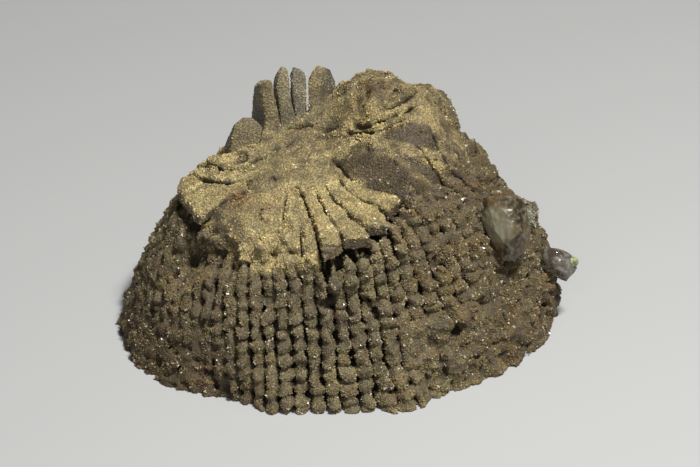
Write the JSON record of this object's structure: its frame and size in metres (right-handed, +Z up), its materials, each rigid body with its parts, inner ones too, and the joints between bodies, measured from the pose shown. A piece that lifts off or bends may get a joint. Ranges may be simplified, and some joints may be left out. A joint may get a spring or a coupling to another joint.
{
  "type": "fossil rugose coral",
  "caption": "Mound-shaped solitary coral turned to quartz: radiating ridges round a raised calice, upright septal blades, a beaded lattice wall, and quartz crystals on one flank.",
  "frame": {"origin": "middle of the underside, on the flat cut face", "axes": "+X to the right along the longest side, towards the crystals; +Y to the back, towards the upright blades; +Z up"},
  "size_m": [0.0556, 0.048, 0.0283],
  "materials": {
    "silicified_coral": "rough, sugary with quartz grains",
    "smoky_quartz": "see-through smoky brown, glossy flat faces",
    "clear_quartz": "see-through, glossy flat faces"
  },
  "bodies": {
    "root": {"coral_skeleton": "silicified_coral", "quartz_crystal_large": "smoky_quartz", "quartz_crystal_small": "clear_quartz"}
  },
  "joints": []
}
